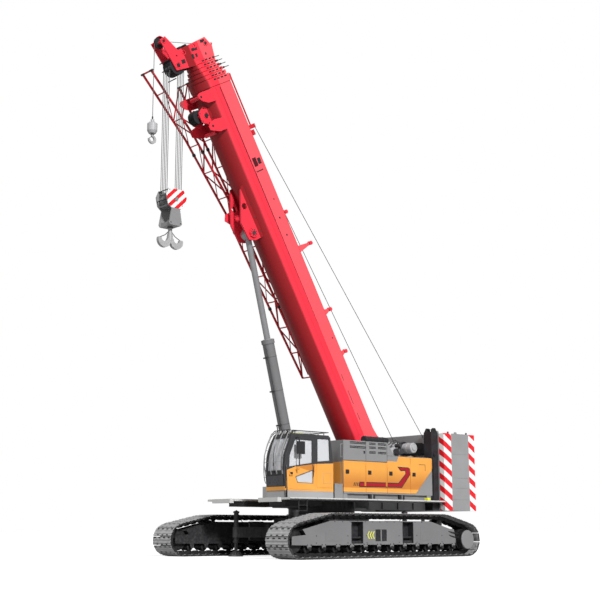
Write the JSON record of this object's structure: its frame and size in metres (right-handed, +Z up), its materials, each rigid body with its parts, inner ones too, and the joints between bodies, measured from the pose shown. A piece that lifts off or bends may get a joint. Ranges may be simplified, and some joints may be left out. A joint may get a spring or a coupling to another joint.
{
  "type": "telescopic crawler crane",
  "caption": "Crawler crane with slewing upper, luffing telescopic boom, stowed lattice jib, hook block and ball hook, cab, counterweight slabs and jacks",
  "frame": {"origin": "on the ground under the slewing axis", "axes": "+X to the left side of the crane, the cab side; -Y forward; +Z up"},
  "size_m": [7.24, 13.69, 17.8057],
  "materials": {
    "track_steel": "dark worn shoes",
    "frame_grey": "satin dark grey",
    "dark_steel": "satin near black",
    "black_steel": "satin black",
    "body_grey": "satin mid grey",
    "bright_steel": "galvanised",
    "deck_white": "light grey",
    "weight_grey": "mid grey with red and white bands",
    "amber_paint": "gloss amber",
    "boom_red": "gloss red",
    "jib_red": "gloss dark red",
    "block_red": "red and white bands",
    "chrome_rod": "ground and chromed",
    "drum_grey": "grey",
    "rope_steel": "wire rope",
    "window_glass": "tinted",
    "seat_black": "black"
  },
  "bodies": {
    "undercarriage": {"carbody": "frame_grey", "slew_ring": "black_steel", "track_left": "track_steel", "track_right": "track_steel", "track_frame_left": "frame_grey", "track_frame_right": "frame_grey", "track_wheels_left": "dark_steel", "track_wheels_right": "dark_steel"},
    "upper": {"turntable": "frame_grey", "walkways": "deck_white", "counterweight_posts": "dark_steel", "counterweight_slab_1": "weight_grey", "counterweight_slab_2": "weight_grey", "counterweight_slab_3": "weight_grey", "counterweight_slab_4": "weight_grey", "counterweight_slab_5": "weight_grey", "house_left": "body_grey", "house_right": "body_grey", "house_cover_right": "amber_paint", "engine_block": "black_steel", "muffler": "dark_steel", "cab_shell": "amber_paint", "cab_windows": "window_glass", "cab_seat": "seat_black", "cab_guard": "bright_steel"},
    "cab_door": {"cab_door": "amber_paint", "cab_door_glass": "window_glass"},
    "main_winch_drum": {"main_winch_drum": "drum_grey"},
    "second_winch_drum": {"second_winch_drum": "drum_grey"},
    "boom_base": {"boom_section_1": "boom_red", "guide_sheaves": "black_steel", "lattice_jib": "jib_red"},
    "luff_rod": {"luff_rod": "chrome_rod"},
    "luff_barrel": {"luff_barrel": "dark_steel"},
    "main_tackle": {"main_falls": "rope_steel", "hook_block": "block_red"},
    "main_hook": {"main_hook": "black_steel"},
    "aux_tackle": {"aux_fall": "rope_steel", "ball_weight": "black_steel"},
    "ball_hook": {"ball_hook": "black_steel"},
    "boom_section_2": {"boom_section_2": "boom_red"},
    "boom_section_3": {"boom_section_3": "boom_red"},
    "boom_section_4": {"boom_section_4": "boom_red"},
    "boom_section_5": {"boom_section_5": "boom_red"},
    "boom_section_6": {"boom_section_6": "boom_red", "head_sheaves": "black_steel"},
    "house_door_left_1": {"house_door_left_1": "amber_paint"},
    "house_door_left_2": {"house_door_left_2": "amber_paint"},
    "house_door_left_3": {"house_door_left_3": "amber_paint"},
    "house_door_left_4": {"house_door_left_4": "amber_paint"},
    "house_door_right_1": {"house_door_right_1": "amber_paint"},
    "house_door_right_2": {"house_door_right_2": "amber_paint"},
    "jack_arm_front_left": {"jack_arm_front_left": "frame_grey"},
    "jack_leg_front_left": {"jack_leg_front_left": "bright_steel"},
    "jack_arm_front_right": {"jack_arm_front_right": "frame_grey"},
    "jack_leg_front_right": {"jack_leg_front_right": "bright_steel"},
    "jack_arm_rear_left": {"jack_arm_rear_left": "frame_grey"},
    "jack_leg_rear_left": {"jack_leg_rear_left": "bright_steel"},
    "jack_arm_rear_right": {"jack_arm_rear_right": "frame_grey"},
    "jack_leg_rear_right": {"jack_leg_rear_right": "bright_steel"}
  },
  "joints": [
    {"name": "slew", "type": "hinge", "parent": "undercarriage", "child": "upper", "pos_m": [0, 0, 1.65], "axis": [0, 0, 1], "continuous": true},
    {"name": "boom_luff", "type": "hinge", "parent": "upper", "child": "boom_base", "pos_m": [0, 2.53, 3.8], "axis": [-1, 0, 0], "range_deg": [-59.5, 20.25]},
    {"name": "luff_rod_swing", "type": "hinge", "parent": "boom_base", "child": "luff_rod", "pos_m": [0, -3.50483, 11.10904], "axis": [-1, 0, 0], "range_deg": [-14.8, 5.1]},
    {"name": "luff_stroke", "type": "slide", "parent": "luff_rod", "child": "luff_barrel", "axis": [0, 0.253, -0.9675], "range_m": [-3.56, 1.215]},
    {"name": "telescope_2", "type": "slide", "parent": "boom_base", "child": "boom_section_2", "axis": [0, -0.5038, 0.8638], "range_m": [0, 9.6]},
    {"name": "telescope_3", "type": "slide", "parent": "boom_section_2", "child": "boom_section_3", "axis": [0, -0.5038, 0.8638], "range_m": [0, 9.6]},
    {"name": "telescope_4", "type": "slide", "parent": "boom_section_3", "child": "boom_section_4", "axis": [0, -0.5038, 0.8638], "range_m": [0, 9.6]},
    {"name": "telescope_5", "type": "slide", "parent": "boom_section_4", "child": "boom_section_5", "axis": [0, -0.5038, 0.8638], "range_m": [0, 9.6]},
    {"name": "telescope_6", "type": "slide", "parent": "boom_section_5", "child": "boom_section_6", "axis": [0, -0.5038, 0.8638], "range_m": [0, 9.6]},
    {"name": "main_tackle_hang", "type": "hinge", "parent": "boom_section_6", "child": "main_tackle", "pos_m": [0, -6.80387, 16.45037], "axis": [-1, 0, 0], "range_deg": [-20.3, 59.6]},
    {"name": "main_hook_swivel", "type": "hinge", "parent": "main_tackle", "child": "main_hook", "pos_m": [0, -6.80387, 10.94537], "axis": [0, 0, 1], "continuous": true},
    {"name": "aux_tackle_hang", "type": "hinge", "parent": "boom_section_6", "child": "aux_tackle", "pos_m": [0, -7.43867, 17.14982], "axis": [-1, 0, 0], "range_deg": [-20.3, 59.6]},
    {"name": "ball_hook_swivel", "type": "hinge", "parent": "aux_tackle", "child": "ball_hook", "pos_m": [0, -7.61997, 13.91981], "axis": [0, 0, 1], "continuous": true},
    {"name": "main_winch_turn", "type": "hinge", "parent": "upper", "child": "main_winch_drum", "pos_m": [0, 3.48, 3.89], "axis": [1, 0, 0], "continuous": true},
    {"name": "second_winch_turn", "type": "hinge", "parent": "upper", "child": "second_winch_drum", "pos_m": [0, 3.3, 2.7], "axis": [1, 0, 0], "continuous": true},
    {"name": "cab_door_swing", "type": "hinge", "parent": "upper", "child": "cab_door", "pos_m": [1.908, -2.035, 3], "axis": [0, 0, 1], "range_deg": [0, 95]},
    {"name": "house_door_left_1_swing", "type": "hinge", "parent": "upper", "child": "house_door_left_1", "pos_m": [1.908, 0.352, 2.7], "axis": [0, 0, 1], "range_deg": [0, 100]},
    {"name": "house_door_left_2_swing", "type": "hinge", "parent": "upper", "child": "house_door_left_2", "pos_m": [1.908, 1.412, 2.7], "axis": [0, 0, 1], "range_deg": [0, 100]},
    {"name": "house_door_left_3_swing", "type": "hinge", "parent": "upper", "child": "house_door_left_3", "pos_m": [1.908, 2.612, 2.7], "axis": [0, 0, 1], "range_deg": [0, 100]},
    {"name": "house_door_left_4_swing", "type": "hinge", "parent": "upper", "child": "house_door_left_4", "pos_m": [1.908, 3.762, 2.7], "axis": [0, 0, 1], "range_deg": [0, 100]},
    {"name": "house_door_right_1_swing", "type": "hinge", "parent": "upper", "child": "house_door_right_1", "pos_m": [-1.908, 0.352, 2.7], "axis": [0, 0, -1], "range_deg": [0, 100]},
    {"name": "house_door_right_2_swing", "type": "hinge", "parent": "upper", "child": "house_door_right_2", "pos_m": [-1.908, 1.412, 2.7], "axis": [0, 0, -1], "range_deg": [0, 100]},
    {"name": "jack_arm_front_left_swing", "type": "hinge", "parent": "undercarriage", "child": "jack_arm_front_left", "pos_m": [1.08, -1.56, 0.8], "axis": [0, 0, 1], "range_deg": [-60, 30]},
    {"name": "jack_leg_front_left_stroke", "type": "slide", "parent": "jack_arm_front_left", "child": "jack_leg_front_left", "axis": [0, 0, 1], "range_m": [-0.4, 0.15]},
    {"name": "jack_arm_front_right_swing", "type": "hinge", "parent": "undercarriage", "child": "jack_arm_front_right", "pos_m": [-1.08, -1.56, 0.8], "axis": [0, 0, -1], "range_deg": [-60, 30]},
    {"name": "jack_leg_front_right_stroke", "type": "slide", "parent": "jack_arm_front_right", "child": "jack_leg_front_right", "axis": [0, 0, 1], "range_m": [-0.4, 0.15]},
    {"name": "jack_arm_rear_left_swing", "type": "hinge", "parent": "undercarriage", "child": "jack_arm_rear_left", "pos_m": [1.08, 1.56, 0.8], "axis": [0, 0, -1], "range_deg": [-60, 30]},
    {"name": "jack_leg_rear_left_stroke", "type": "slide", "parent": "jack_arm_rear_left", "child": "jack_leg_rear_left", "axis": [0, 0, 1], "range_m": [-0.4, 0.15]},
    {"name": "jack_arm_rear_right_swing", "type": "hinge", "parent": "undercarriage", "child": "jack_arm_rear_right", "pos_m": [-1.08, 1.56, 0.8], "axis": [0, 0, 1], "range_deg": [-60, 30]},
    {"name": "jack_leg_rear_right_stroke", "type": "slide", "parent": "jack_arm_rear_right", "child": "jack_leg_rear_right", "axis": [0, 0, 1], "range_m": [-0.4, 0.15]}
  ],
  "couplings": [
    {"joint": "luff_rod_swing", "follows": "boom_luff", "ratio": 0.2476},
    {"joint": "luff_stroke", "follows": "boom_luff", "m_per_rad": 3.4204},
    {"joint": "main_tackle_hang", "follows": "boom_luff", "ratio": -1},
    {"joint": "aux_tackle_hang", "follows": "boom_luff", "ratio": -1},
    {"joint": "telescope_3", "follows": "telescope_2", "ratio": 1},
    {"joint": "telescope_4", "follows": "telescope_2", "ratio": 1},
    {"joint": "telescope_5", "follows": "telescope_2", "ratio": 1},
    {"joint": "telescope_6", "follows": "telescope_2", "ratio": 1}
  ]
}
